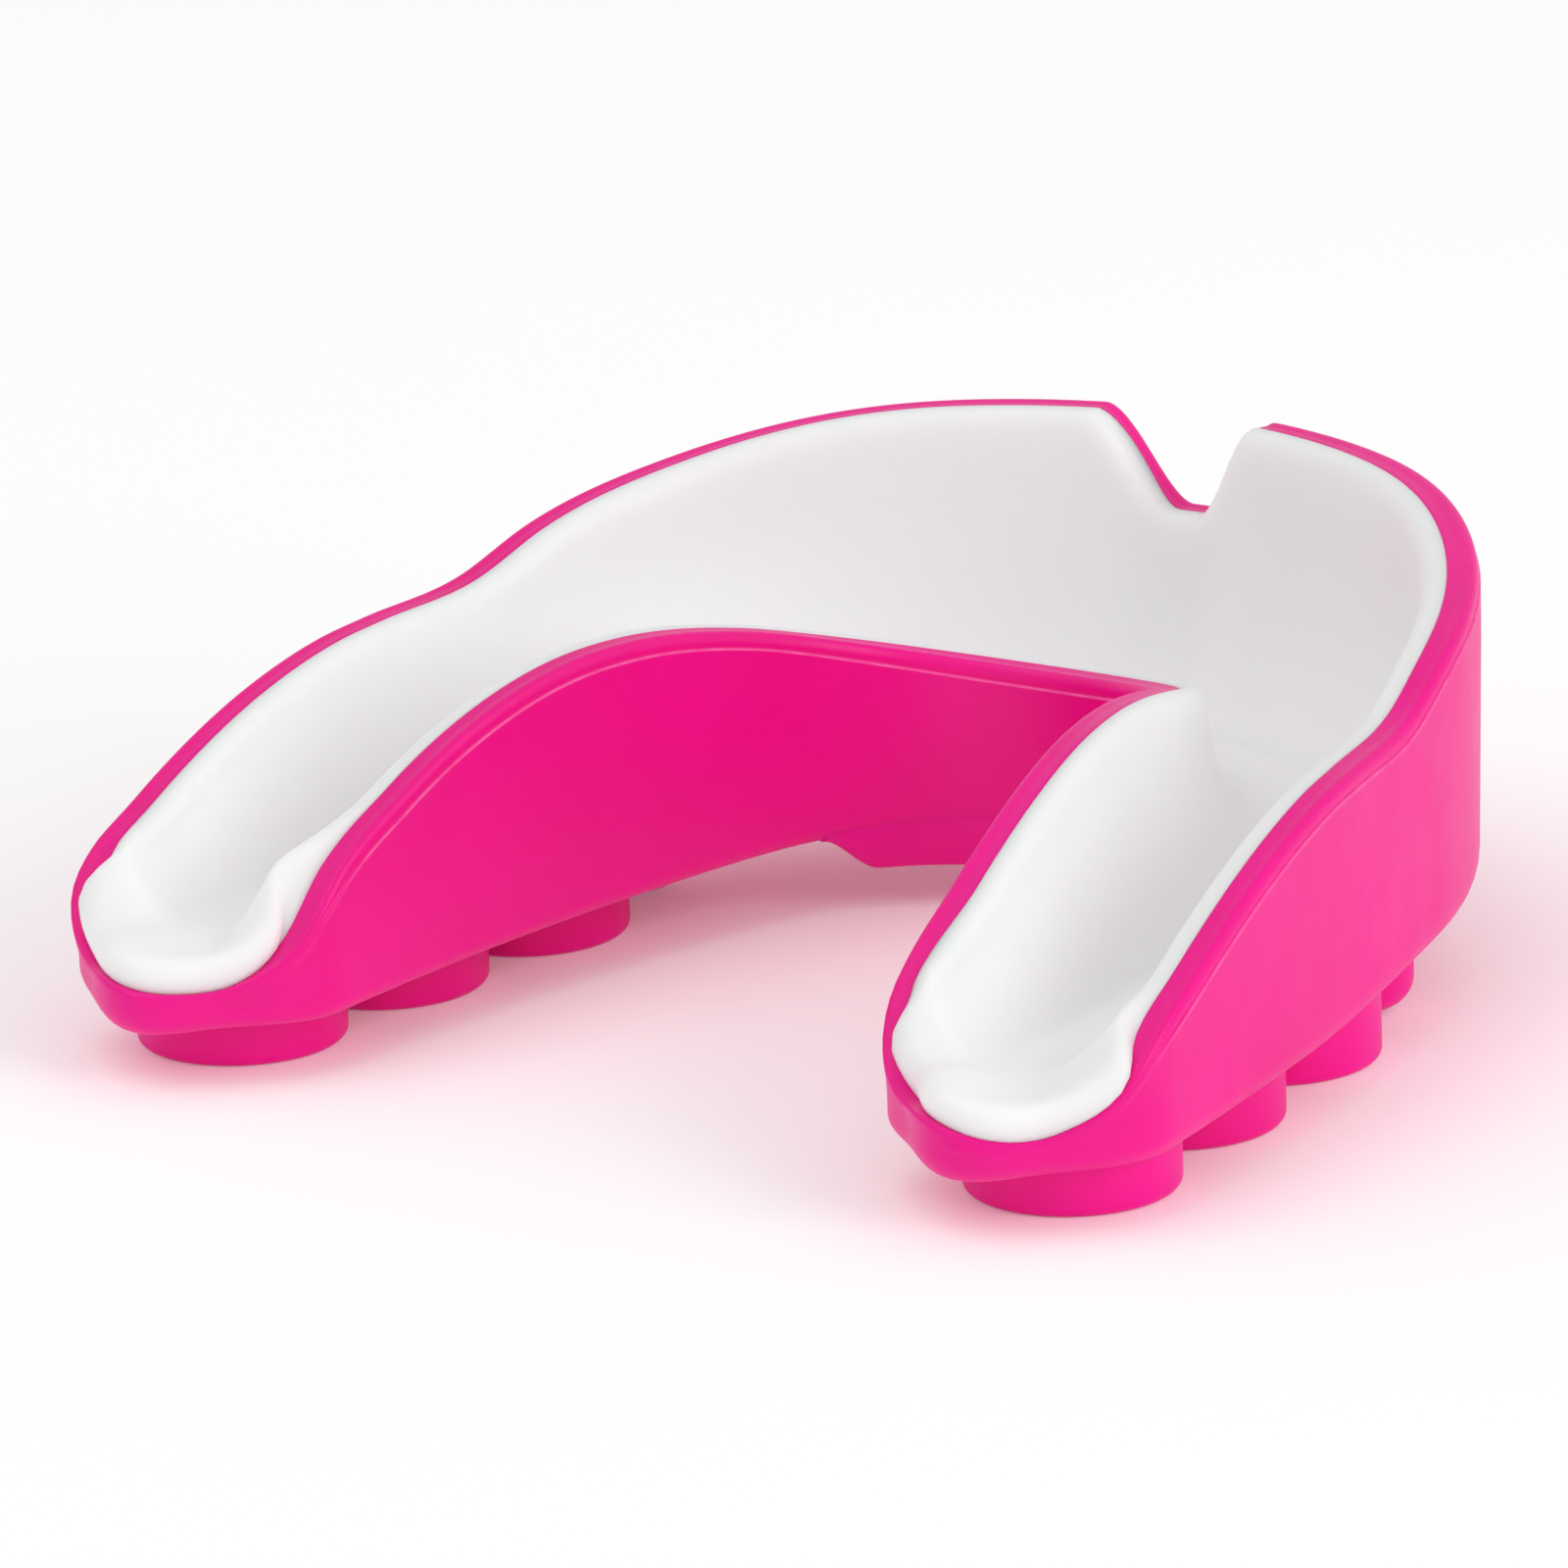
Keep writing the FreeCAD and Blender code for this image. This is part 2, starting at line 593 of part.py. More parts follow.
def main():
    doc = FreeCAD.newDocument("Mouthguard")
    make_sheet(doc)
    trough = make_trough(doc)
    notch = notch_tool(doc)
    lingual_rim = lingual_rim_tool(doc)
    shell = make_shell(doc, trough, notch, lingual_rim)
    liner = make_liner(doc, trough, notch, lingual_rim)
    pieces = [shell, liner] + make_pads(doc, shell) + [make_front_pad(doc, shell)]
    doc.recompute()
    check(doc, pieces)
    os.makedirs("parts", exist_ok=True)
    for piece in pieces:
        piece.Label = piece.Name
        piece.Shape.exportStep(os.path.join("parts", piece.Label + ".step"))
        box = piece.Shape.BoundBox
        print("%-20s %9.2f mm3  x %.2f %.2f  y %.2f %.2f  z %.2f %.2f" % (
            piece.Label, piece.Shape.Volume, box.XMin, box.XMax, box.YMin, box.YMax, box.ZMin, box.ZMax))


main()
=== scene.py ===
import math

import bmesh
import bpy
import numpy as np
from mathutils import Matrix, Vector
from mathutils.bvhtree import BVHTree


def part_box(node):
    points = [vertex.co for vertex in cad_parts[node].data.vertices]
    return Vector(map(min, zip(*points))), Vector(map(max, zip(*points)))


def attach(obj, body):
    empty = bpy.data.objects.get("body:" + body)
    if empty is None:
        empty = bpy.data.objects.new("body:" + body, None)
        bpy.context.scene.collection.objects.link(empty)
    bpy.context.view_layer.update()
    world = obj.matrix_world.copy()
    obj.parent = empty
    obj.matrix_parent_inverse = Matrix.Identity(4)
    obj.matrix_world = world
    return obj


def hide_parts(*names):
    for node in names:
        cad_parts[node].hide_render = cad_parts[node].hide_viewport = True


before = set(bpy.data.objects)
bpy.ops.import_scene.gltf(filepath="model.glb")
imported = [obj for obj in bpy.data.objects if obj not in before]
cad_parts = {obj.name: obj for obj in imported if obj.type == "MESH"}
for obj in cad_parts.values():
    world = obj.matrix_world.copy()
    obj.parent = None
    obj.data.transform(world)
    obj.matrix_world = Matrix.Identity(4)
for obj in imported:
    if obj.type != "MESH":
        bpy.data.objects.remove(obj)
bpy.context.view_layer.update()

# The looks of a boil-and-bite mouthguard.  Lengths are in millimetres until a mesh is made.  The arch
# opens towards +Y, its front teeth face -Y.  An "inset" is a distance into the band from its outline,
# the same on the outer face, the leg ends and the tongue side.
MM = 0.001


def node_box(name):
    """Lowest and highest corner of a CAD node, in millimetres."""
    low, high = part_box(name)
    return np.array(low) / MM, np.array(high) / MM


SHELL_LOW, SHELL_HIGH = node_box("outer_shell")
LINER_END_Y = node_box("gel_liner")[1][1]
FRONT_PAD_LOW = node_box("front_bite_pad")[0]
FRONT_Y, END_Y = SHELL_LOW[1], SHELL_HIGH[1]
RIM_TOP = SHELL_HIGH[2]
UNDERSIDE = SHELL_LOW[2]
WALL = END_Y - LINER_END_Y

# arch outline, as the CAD part has it
FRONT_RADIUS = 27.0
FRONT_SWEEP = math.radians(79.0)
LEG_RADIUS = 208.0
BAND_WIDTH = 15.0
LINGUAL_RADIUS = 10.8
LINGUAL_SWEEP = math.radians(73.1)
LINGUAL_LEG_RADIUS = 124.0
END_REACH = 8.5                  # length of the rounded leg end
END_DRAFT = 0.9                  # how much shorter it is low down
END_TUCK = (0.9, 1.1)            # how far its lower corners draw in, on the outer and the tongue side
TOP_TUCK = (-0.35, 0.45)         # the same at the top
TUCK_FADES = (4.5, 8.5)          # heights between which the one passes into the other
FACE_BULGE = 0.25                # how far the outer face leans out round the front teeth, near its top
BULGE_LEVEL = 11.0               # height below which it leans in instead
BULGE_RISE = 6.0                 # height above that of the full lean
BULGE_DEPTH = 0.6                # inset at which the lean is gone
CORE_INSET = 4.4                 # where the sections across the band begin
BEND_EASE = 9.0                  # length over which the front arc eases into the leg arc
TOE_RISE = math.radians(1.7)     # slope of the underside
FLOOR = 1.6                      # thickness of the shell under the gel

# rim line: distance back from the front face, height
OUTER_RIM = [(0, RIM_TOP), (4.4, 21.5), (13.7, 19.7), (21.2, 17.9), (25.8, 16.3), (32.3, 15.7),
             (35.2, 15.4), (39.7, 14.4), (48.8, 10.7), (53.4, 8.1), (55.4, 6.0), (57.2, 5.2), (60, 5.2)]
LINGUAL_RIM = [(14.7, 12.0), (18.7, 13.4), (23.9, 15.0), (31, 16.1), (35.5, 15.95), (41, 14.7),
               (46.6, 12.4), (52.6, 8.8), (54.8, 6.3), (57.0, 5.2), (60, 5.2)]
NOTCH_BOTTOM = 17.0
NOTCH_FLAT = 0.7                 # half width where the flanks start
NOTCH_SHOULDERS = (4.5, 5.5)     # half widths where they end, on the right and the left
NOTCH_LAND = 0.45                # how much narrower the rim's land is on the flanks
NOTCH_SHIFT = 0.1                # how far it sits off the middle, to the left
END_SPAN = (49.0, 56.0)          # distances back over which the leg end takes over from the walls

# bottom edge rounding
END_ROUND = 1.4
FRONT_ROUND = 2.5
LINGUAL_ROUND = 0.8
ROUND_GROWS = (20.0, 37.0)       # distances back between which the outer rounding grows to the front's

# section of the shell's rim, from the outer face to the trough: (inset, height over the rim line)
RIM_SECTION = [(0.00, -1.60), (0.00, -1.10), (-0.01, -0.92), (-0.02, -0.84), (0.10, -0.78),
               (0.10, -0.70), (0.05, -0.60), (0.08, -0.38), (0.16, -0.16), (0.30, -0.01), (0.52, 0.02),
               (0.72, -0.05), (0.95, -0.05), (1.20, -0.02), (1.45, 0.0), (1.50, -0.10), (1.50, -0.50)]
# the same at the leg ends, where the rim is a plain narrow ledge
LEDGE_SECTION = [(0.00, -0.90), (0.00, -0.72), (0.00, -0.56), (0.00, -0.42), (0.02, -0.31),
                 (0.03, -0.22), (0.06, -0.16), (0.12, -0.08), (0.22, -0.02), (0.34, 0.00), (0.52, 0.00),
                 (0.72, -0.02), (0.95, -0.02), (1.20, -0.02), (1.45, -0.02), (1.50, -0.10), (1.50, -0.40)]
SECTION_RISE = 0.03              # least rise from one of these points to the next where the wall is low
# section of the gel's lip, and the same at the leg ends, where it swells over the ledge
SINK = 0.05                      # how far the gel is let into the shell
LIP_SECTION = [(1.45, -0.60), (1.45, -0.30), (1.45, -0.08), (1.50, 0.00), (1.68, 0.04), (1.95, 0.04),
               (2.25, -0.03), (2.50, -0.22), (2.68, -0.60), (2.78, -1.10)]
END_LIP_SECTION = [(1.45, -0.60), (1.30, -0.15), (0.80, -0.08), (0.48, 0.02), (0.46, 0.50), (0.68, 1.05),
                   (1.10, 1.45), (1.60, 1.64), (2.20, 1.66), (2.90, 1.60)]
# the land is the rim's flat top between the outer face and the gel
SPILL = (52.6, 54.8)             # distances back between which the gel spreads over the land
LAND_SWELL = (-0.4, 1.2)         # how much wider it is by the tongue, near the right and the left leg's end
LAND_SPAN = (47.0, 53.0, 58.0)   # distances back where that starts, peaks and stops
# hand-trimmed look of the leg ends: (side, degrees round the end from the outer face, half width, amount)
LAND_LOBES = [(1, 45, 45, 0.30), (-1, 25, 30, -0.40), (-1, 65, 35, -0.40), (-1, 135, 45, 0.70)]
RIM_LOBES = [(-1, 60, 40, -0.45), (-1, 115, 40, 0.35), (1, 112, 50, -0.45)]
CORNER_ROUND = 1.1               # extra width of the bottom rounding at the corners of the leg ends
# moulding marks, bumps where the depth is negative:
# (side, degrees round the end, half width, height, half height, depth)
MARKS = [(-1, 82, 12, 4.35, 0.18, -0.16), (-1, 70, 8, 4.1, 0.12, -0.10), (1, 138, 9, 4.0, 0.35, 0.16)]
HAIRLINE = (-0.84, 0.05)         # height over the rim, and spread, of the pale line painted on the rim's step as a highlight
SOFT_FLOOR = (20.0, 45.0, 0.6)   # distances back between which the gel's bowl gets softer, and how much
GEL_STEPS = 8                    # control points from the lip down to the gel's floor
GEL_CORE_INSET = 5.8             # where the gel's floor levels out
GEL_FLOOR_LINE = [(15, 7.2), (30, 6.4), (45, 6.3), (52, 6.45), (57, 6.7), (60, 6.8)]

# bite pads
FOOT_ROUND = 0.5                 # rounding of the foot's edge
CANINE_FOOT_ROUND = 1.5          # the same for the canine pads
SMALLEST_ROUND_PAD = 4.0         # a pad with a smaller radius is a canine pad
PAD_FILLET = 0.35                # where a pad meets the shell
PAD_OVERLAP = 0.02               # how far the fillet's edge reaches into the shell
PAD_SINK = 0.3                   # how far the pad's closed top does
RAY_START = -10.0                # height from which the shell is looked for above a pad
FRONT_PAD_FLAT = math.radians(46)    # half the sweep of the front pad's flat foot
FRONT_PAD_SWEEP = math.radians(61)   # the same with the ramps at its ends
FRONT_PAD_RISE = 1.7             # height of the ramps
FRONT_PAD_SINK = (0.6, 1.1)      # how far its side and its closed top reach into the shell
FRONT_PAD_LEAN = 0.06            # how far the top leans away from the tongue side
ARC_CENTRE_Y = FRONT_Y + BAND_WIDTH + LINGUAL_RADIUS

# mesh density
PAD_TURNS = 96
FOOT_SHARES = (0.34, 0.67, 1.0)  # rings across a pad's foot
SIDE_SHARES = (0.35, 0.7, 1.0)   # rings up its side
PAD_ROUND_STEPS = 7
FILLET_STEPS = 5
FRONT_PAD_ALONG = 96
FRONT_PAD_ACROSS = 16
CORE_STEPS = 3
BOTTOM_ROUND_STEPS = 9
FACE_STEPS = 13
TROUGH_SHARES = (0.4, 0.8, 1.0)  # rings down the trough's wall
FLOOR_SHARES = (0.5, 1.0)        # rings in from there
GEL_BASE_SHARES = (0, 0.5, 1)    # rings across the gel's underside
GEL_SIDE_SHARES = (0.35, 0.7)    # rings up its side
EDGE_STEPS = 150
END_STEPS = 48
FAN_ROWS = 6
FINE_STEPS = 4000
FRONT_BIAS = 0.5                 # how much closer the steps are round the front than along the legs
SAMPLES_PER_CONTROL = 3
JUST_INSIDE = 1e-9               # keeps a spline's last sample within its last span

# materials: noise in cycles per metre, for cloudy pigment, patches of gloss, fine grain and flow waves
SHELL_PINKS = ((0.83, 0.0, 0.24), (0.90, 0.0, 0.285))
PAD_PINKS = ((0.84, 0.0, 0.265), (0.90, 0.0, 0.31))
GEL_WHITES = ((0.94, 0.905, 0.93), (0.975, 0.945, 0.965))
PAINTED_HIGHLIGHT_MARK = "hairline"        # the mesh attribute that says where the painted highlight goes
# pale pink painted along the edge of the step under the rim, as a highlight
PAINTED_HIGHLIGHT_PINK = (0.98, 0.16, 0.46)
PAINTED_HIGHLIGHT_NOISE = 900.0
PAINTED_HIGHLIGHT_STRENGTH = 1.4
SHELL_GLOSS = (0.33, 0.47)
PAD_GLOSS = (0.38, 0.52)
GEL_GLOSS = (0.40, 0.52)
RUBBER_NOISE = (90.0, 260.0, 5200.0, 300.0)
GEL_NOISE = (120.0, 320.0, 4200.0, 240.0)
RUBBER_BUMP = (0.25, 0.35)       # strength of the grain and of the waves
GEL_BUMP = (0.2, 0.3)
BUMP_DEPTH = (0.00002, 0.0002)   # metres
NOISE_DETAIL = (4.0, 4.0, 2.0, 2.0)  # octaves of the same four
CLOUD_SPAN = (0.3, 0.7)          # noise values of the deepest and the brightest pigment
RUBBER = {"Subsurface Weight": 0.18, "Subsurface Radius": (1.0, 0.25, 0.5), "Subsurface Scale": 0.0012,
          "Specular IOR Level": 0.3, "IOR": 1.47}
GEL = {"Subsurface Weight": 0.7, "Subsurface Radius": (1.0, 0.8, 0.85), "Subsurface Scale": 0.0022,
       "IOR": 1.42}

# studio: metres, degrees and watts
FLOOR_GREYS = ((0.95, 0.95, 0.95), (0.97, 0.97, 0.97))
FLOOR_NOISE = 3.0
FLOOR_LOOK = {"Roughness": 0.9, "Specular IOR Level": 0.1, "Emission Color": (1.0, 1.0, 1.0, 1.0),
              "Emission Strength": 0.12}
FLOOR_HALF_WIDTH = 2.0
WORLD_STRENGTH = 0.65
# name, azimuth, elevation, distance, width, power
LIGHTS = [("key_box", 150, 62, 1.5, 1.25, 4.6), ("side_box", 268, 25, 1.6, 0.9, 8.0)]
CAMERA_AIM = (214.57, 16.34)     # azimuth and elevation it looks from
CAMERA_ROLL = -1.93
CAMERA_DISTANCE = 0.591
CAMERA_TARGET = Vector((24.23, -27.47, 0.0)) * MM
LENS = 268.9
SENSOR = 36.0
NEAREST = 0.01


# ---------------------------------------------------------------- helpers

def ease(value):
    """Smooth step from 0 to 1 as the value goes from 0 to 1."""
    t = np.clip(value, 0, 1)
    return t * t * (3 - 2 * t)


def mix(a, b, share):
    return a + (b - a) * share


def line_through(points):
    """A smooth function through the points, made of cubic Hermite pieces."""
    xs, ys = np.array(points, float).T
    slopes = np.gradient(ys, xs)

    def value(x):
        x = np.clip(x, xs[0], xs[-1])
        i = np.clip(np.searchsorted(xs, x) - 1, 0, len(xs) - 2)
        width = xs[i + 1] - xs[i]
        t = (x - xs[i]) / width
        rise = ys[i] + (ys[i + 1] - ys[i]) * t * t * (3 - 2 * t)
        return rise + width * t * (1 - t) * (slopes[i] * (1 - t) - slopes[i + 1] * t)
    return value


def spline_basis(count, per_span):
    """Weights of a clamped cubic B-spline's control points, one row for each sample along it."""
    spans = count - 3
    knots = np.concatenate([np.zeros(3), np.arange(spans + 1), np.full(3, spans)])
    at = np.linspace(0, spans - JUST_INSIDE, spans * per_span + 1)
    weights = [((at >= a) & (at < b)).astype(float) for a, b in zip(knots, knots[1:])]
    for degree in (1, 2, 3):
        raised = []
        for i in range(len(weights) - 1):
            low = knots[i + degree] - knots[i]
            high = knots[i + degree + 1] - knots[i + 1]
            rising = (at - knots[i]) / low * weights[i] if low else 0
            falling = (knots[i + degree + 1] - at) / high * weights[i + 1] if high else 0
            raised.append(rising + falling)
        weights = raised
    return np.array(weights).T


def towards(azimuth, elevation):
    """The direction of something seen at an azimuth and elevation in degrees."""
    a, e = math.radians(azimuth), math.radians(elevation)
    return Vector((math.sin(a) * math.cos(e), -math.cos(a) * math.cos(e), math.sin(e)))


def underside(y):
    """Height of the shell's sloping underside."""
    return UNDERSIDE + (END_Y - y) * math.tan(TOE_RISE)


# ---------------------------------------------------------------- outline

def long_edge(front_y, front_radius, sweep, leg_radius):
    """Points of one long edge of the band, from the middle of the front to where the leg end begins."""
    leg_centre_y = front_y + front_radius + (leg_radius - front_radius) * math.cos(sweep)
    end_heading = math.pi / 2 + math.asin((END_Y - END_REACH - leg_centre_y) / leg_radius)
    front_length = front_radius * sweep
    length = front_length + leg_radius * (end_heading - sweep)
    s = np.linspace(0, length, FINE_STEPS)
    bend = ease((s - front_length) / BEND_EASE + 0.5)
    heading = add_up((1 - bend) / front_radius + bend / leg_radius, s)
    heading *= end_heading / heading[-1]
    x, y = add_up(np.cos(heading), s), add_up(np.sin(heading), s)
    end_x = (front_radius - leg_radius) * math.sin(sweep) + leg_radius * math.sin(end_heading)
    x *= end_x / x[-1]
    y = front_y + y * (END_Y - END_REACH - front_y) / y[-1]
    t = np.linspace(0, 1, EDGE_STEPS + 1)
    at = length * mix(t, t * t, FRONT_BIAS)
    return np.array([np.interp(at, s, v) for v in (x, y)])


def add_up(values, at):
    """Running integral of the values."""
    steps = np.diff(at) * (values[1:] + values[:-1]) / 2
    return np.concatenate([[0], np.cumsum(steps)])


class Loop:
    """The closed outline of the band, with what varies along it."""

    def __init__(self):
        outer = long_edge(FRONT_Y, FRONT_RADIUS, FRONT_SWEEP, LEG_RADIUS)
        lingual = long_edge(FRONT_Y + BAND_WIDTH, LINGUAL_RADIUS, LINGUAL_SWEEP, LINGUAL_LEG_RADIUS)
        half = np.concatenate([outer, leg_end(outer[:, -1], lingual[:, -1]), lingual[:, ::-1]], axis=1)
        self.half_count = half.shape[1]
        self.x, self.y = np.concatenate([half, half[:, -2:0:-1] * [[-1], [1]]], axis=1)
        along_x = np.roll(self.x, -1) - np.roll(self.x, 1)
        along_y = np.roll(self.y, -1) - np.roll(self.y, 1)
        length = np.hypot(along_x, along_y)
        self.nx, self.ny = -along_y / length, along_x / length
        share = np.zeros(self.half_count)
        share[:EDGE_STEPS + 1] = 1
        share[EDGE_STEPS:EDGE_STEPS + END_STEPS + 1] = 1 - ease(np.linspace(-1, 1, END_STEPS + 1))
        self.outerness = np.concatenate([share, share[-2:0:-1]])
        turn = np.zeros(self.half_count)
        turn[EDGE_STEPS:EDGE_STEPS + END_STEPS + 1] = np.linspace(0, math.pi, END_STEPS + 1)
        turn[EDGE_STEPS + END_STEPS:] = math.pi
        self.turn = np.concatenate([turn, turn[-2:0:-1]])
        self.corner = np.sin(2 * self.turn) ** 2
        self.back = self.y - FRONT_Y
        self.fore = 1 - ease(self.back / FRONT_RADIUS)
        self.end = self.between(*END_SPAN)
        self.spill = self.between(*SPILL)

    def between(self, start, stop):
        """0 before one distance back, 1 after another, and a smooth step in between."""
        return ease((self.back - start) / (stop - start))

    def at(self, inset):
        return self.x + self.nx * inset, self.y + self.ny * inset

    def lobes(self, table):
        """Sum of the table's bumps round the leg ends."""
        total = np.zeros_like(self.x)
        for side, centre, half_width, amount in table:
            away = np.clip((np.degrees(self.turn) - centre) / half_width, -1, 1)
            total += amount * np.cos(away * math.pi / 2) ** 2 * (self.x * side > 0)
        return total

    def shaped(self, inset, height):
        """The points at an inset, with the leg ends' corners drawn in and the front face leaning out."""
        high = ease((height - TUCK_FADES[0]) / (TUCK_FADES[1] - TUCK_FADES[0]))
        outer = self.turn < math.pi / 2
        drawn_in = self.corner * mix(np.where(outer, *END_TUCK), np.where(outer, *TOP_TUCK), high)
        draft = END_DRAFT * np.sin(self.turn) ** 2 * (1 - high)
        tuck = (drawn_in + draft) * np.clip(1 - inset / CORE_INSET, 0, 1)
        rise = np.clip((height - BULGE_LEVEL) / BULGE_RISE, -1, 1)
        skin = np.clip(1 - inset / BULGE_DEPTH, 0, 1)
        bulge = FACE_BULGE * rise * self.fore * self.outerness
        for *place, level, spread, depth in MARKS:
            bulge -= self.lobes([(*place, depth)]) * np.exp(-((height - level) / spread) ** 2)
        return self.at(inset + tuck - bulge * skin)

    def rows(self, ring):
        """Pairs of a ring's vertices that face each other across the band, one leg end to the other."""
        middle = self.half_count - 1
        across = [(ring[k], ring[middle - k]) for k in range(EDGE_STEPS + 1)]
        back = [(ring[-k], ring[middle + k]) for k in range(1, EDGE_STEPS + 1)]
        return across[::-1] + back

    def leg_end_rows(self, ring):
        """The vertices of a ring round each leg end, in order from the outer side."""
        places = range(EDGE_STEPS, EDGE_STEPS + END_STEPS + 1)
        return [ring[i] for i in places], [ring[-i] for i in places]


def leg_end(outer, lingual):
    """Half an ellipse round the leg end, without the points where it meets the long edges."""
    centre, arm = (outer + lingual) / 2, (outer - lingual) / 2
    turn = np.linspace(0, math.pi, END_STEPS + 1)[1:-1]
    reach = np.array([[0.0], [END_REACH]])
    return centre[:, None] + arm[:, None] * np.cos(turn) + reach * np.sin(turn)


# ---------------------------------------------------------------- heights

def rim_height(loop):
    """Height of the shell's rim, with the notch and the trimmed leg ends."""
    outer = line_through(OUTER_RIM)(loop.back)
    lingual = line_through(LINGUAL_RIM)(loop.back)
    rim = mix(lingual, outer, loop.outerness)
    notch = mix(NOTCH_BOTTOM, RIM_TOP, notch_flank(loop))
    return np.minimum(rim, notch) + loop.lobes(RIM_LOBES)


def notch_flank(loop):
    """0 at the bottom of the notch, rising up its flanks to 1, which it is everywhere else."""
    off_middle = loop.x - NOTCH_SHIFT
    shoulder = np.where(off_middle < 0, *NOTCH_SHOULDERS)
    at_front = (loop.outerness > 0.5) & (loop.back < BAND_WIDTH / 2)
    return np.where(at_front, ease((np.abs(off_middle) - NOTCH_FLAT) / (shoulder - NOTCH_FLAT)), 1)


def bottom_round(loop):
    """Radius of the rounding along the bottom edge."""
    grown = 1 - ease((loop.back - ROUND_GROWS[0]) / (ROUND_GROWS[1] - ROUND_GROWS[0]))
    outer = mix(END_ROUND, FRONT_ROUND, grown)
    return mix(LINGUAL_ROUND, outer, loop.outerness)


# ---------------------------------------------------------------- meshes

def new_piece(name, bm, material, nodes):
    """Turns a mesh in millimetres into a piece that stands in for CAD nodes."""
    mesh = bpy.data.meshes.new(name)
    bmesh.ops.recalc_face_normals(bm, faces=bm.faces)
    for face in bm.faces:
        face.smooth = True
    bm.to_mesh(mesh)
    bm.free()
    mesh.transform(Matrix.Scale(MM, 4))
    mesh.materials.append(material)
    piece = bpy.data.objects.new(name, mesh)
    bpy.context.scene.collection.objects.link(piece)
    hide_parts(*nodes)
    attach(piece, "root")


def close_ring(bm, loop, ring):
    """Fills the middle of the band with rows across it."""
    rows = []
    for outer, lingual in loop.rows(ring):
        row = [outer]
        for i in range(1, END_STEPS):
            share = (1 - math.cos(math.pi * i / END_STEPS)) / 2
            row.append(bm.verts.new(outer.co.lerp(lingual.co, share)))
        rows.append(row + [lingual])
    first, last = loop.leg_end_rows(ring)
    rows = end_fan(bm, first, rows[0]) + rows + end_fan(bm, last, rows[-1])[::-1]
    for a, b in zip(rows, rows[1:]):
        for i in range(END_STEPS):
            corners = list(dict.fromkeys((a[i], a[i + 1], b[i + 1], b[i])))
            bm.faces.new(corners)


def end_fan(bm, round_row, straight_row):
    """Rows that straighten out from the curve of a leg end to the first row across the leg."""
    rows = [round_row]
    for step in range(1, FAN_ROWS):
        share = step / FAN_ROWS
        between = [bm.verts.new(a.co.lerp(b.co, share)) for a, b in zip(round_row[1:-1], straight_row[1:-1])]
        rows.append([round_row[0]] + between + [round_row[-1]])
    return rows


def join_rings(bm, rings):
    """Joins each ring to the next with a strip of faces."""
    for low, high in zip(rings, rings[1:]):
        for i in range(len(low)):
            j = (i + 1) % len(low)
            bm.faces.new((low[i], low[j], high[j], high[i]))


def band_mesh(loop, rings, painted_highlight=False):
    """A closed mesh of rings of (inset, height) round the outline, closed at its first and last ring."""
    bm = bmesh.new()
    mark = bm.verts.layers.float.new(PAINTED_HIGHLIGHT_MARK) if painted_highlight else None
    level, spread = HAIRLINE
    rim = rim_height(loop)
    rows = []
    for inset, height in rings:
        x, y = loop.shaped(inset, height)
        rows.append([bm.verts.new(p) for p in zip(x, y, height)])
        # painted highlight: a pale band along the edge of the step just under the rim, where light catches
        # it, faded out at the leg ends
        if painted_highlight:
            near = np.exp(-((height - rim - level) / spread) ** 2) * (1 - loop.end)
            for vert, value in zip(rows[-1], near):
                vert[mark] = value
    join_rings(bm, rows)
    close_ring(bm, loop, rows[0])
    close_ring(bm, loop, rows[-1])
    return bm


def flat_ring(loop, inset, height_of_y, lift=0.0):
    """A ring at an inset, at a height that depends on the distance back."""
    inset = np.broadcast_to(inset, loop.x.shape)
    return inset, height_of_y(loop.at(inset)[1]) + lift


def section_rings(insets, heights):
    """Rings along the B-spline of control rings."""
    basis = spline_basis(len(insets), SAMPLES_PER_CONTROL)
    return list(zip(basis @ np.array(insets), basis @ np.array(heights)))


def section_controls(loop, rim, along, at_end, spread):
    """Control rings of a section that changes from one shape along the walls to another at the ends."""
    insets, heights = [], []
    for (inset, height), (end_inset, end_height) in zip(along, at_end):
        insets.append(mix(inset, end_inset, spread))
        heights.append(rim + mix(height, end_height, loop.end))
    return insets, heights


def trough_floor(y):
    """Height of the shell's floor, under the gel."""
    return underside(y) + FLOOR


def shell_rings(loop):
    """Rings of the shell from its underside, up the face, over the rim and down into the trough."""
    rim = rim_height(loop)
    radius = bottom_round(loop)
    width = radius + CORNER_ROUND * loop.corner
    core = np.linspace(0, 1, CORE_STEPS, endpoint=False)
    rings = [flat_ring(loop, mix(CORE_INSET, width, t), underside) for t in core]
    for angle in np.linspace(0, math.pi / 2, BOTTOM_ROUND_STEPS + 1):
        inset, height = flat_ring(loop, width * (1 - math.sin(angle)), underside)
        rings.append((inset, height + radius * (1 - math.cos(angle))))
    face_low = rings[-1][1]
    insets, heights = section_controls(loop, rim, RIM_SECTION, LEDGE_SECTION, loop.end)
    heights = [np.maximum(height, face_low + SECTION_RISE * i) for i, height in enumerate(heights, start=1)]
    for t in np.linspace(0, 1, FACE_STEPS + 1)[1:-1]:
        rings.append((np.zeros_like(rim), mix(face_low, heights[0], t)))
    rings += section_rings(insets, heights)
    floor = flat_ring(loop, WALL, trough_floor)[1]
    for t in TROUGH_SHARES:
        rings.append((np.full_like(rim, WALL), mix(heights[-1], floor, t)))
    rings += [flat_ring(loop, mix(WALL, CORE_INSET, t), trough_floor) for t in FLOOR_SHARES]
    return rings


def gel_floor(y):
    """Height of the gel's bowl, where it levels out."""
    return line_through(GEL_FLOOR_LINE)(y - FRONT_Y)


